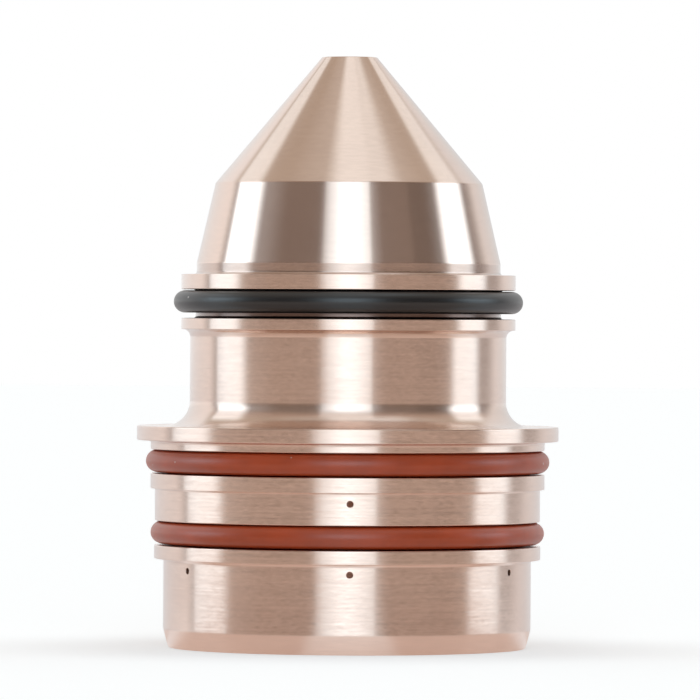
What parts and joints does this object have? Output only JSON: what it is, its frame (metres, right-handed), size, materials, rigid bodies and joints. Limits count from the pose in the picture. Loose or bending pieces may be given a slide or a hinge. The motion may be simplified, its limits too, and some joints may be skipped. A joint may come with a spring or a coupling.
{
  "type": "plasma torch nozzle",
  "caption": "Conical copper nozzle for a plasma cutting torch, with a stepped bore, rows of small radial gas ports, a clamping flange and O-ring seals in turned glands.",
  "frame": {"origin": "centre of the open rear end, in the plane that the nozzle stands on", "axes": "+Z along the nozzle's axis, from the open rear end to the tip; a port of each row points along -Y"},
  "size_m": [0.0338, 0.0338, 0.0472],
  "materials": {
    "copper": "bare copper, fine turned, satin to bright",
    "red_rubber": "satin",
    "black_rubber": "satin"
  },
  "bodies": {
    "root": {"nozzle_body": "copper", "rear_o_ring": "red_rubber", "middle_o_ring": "red_rubber", "front_o_ring": "black_rubber"}
  },
  "joints": []
}
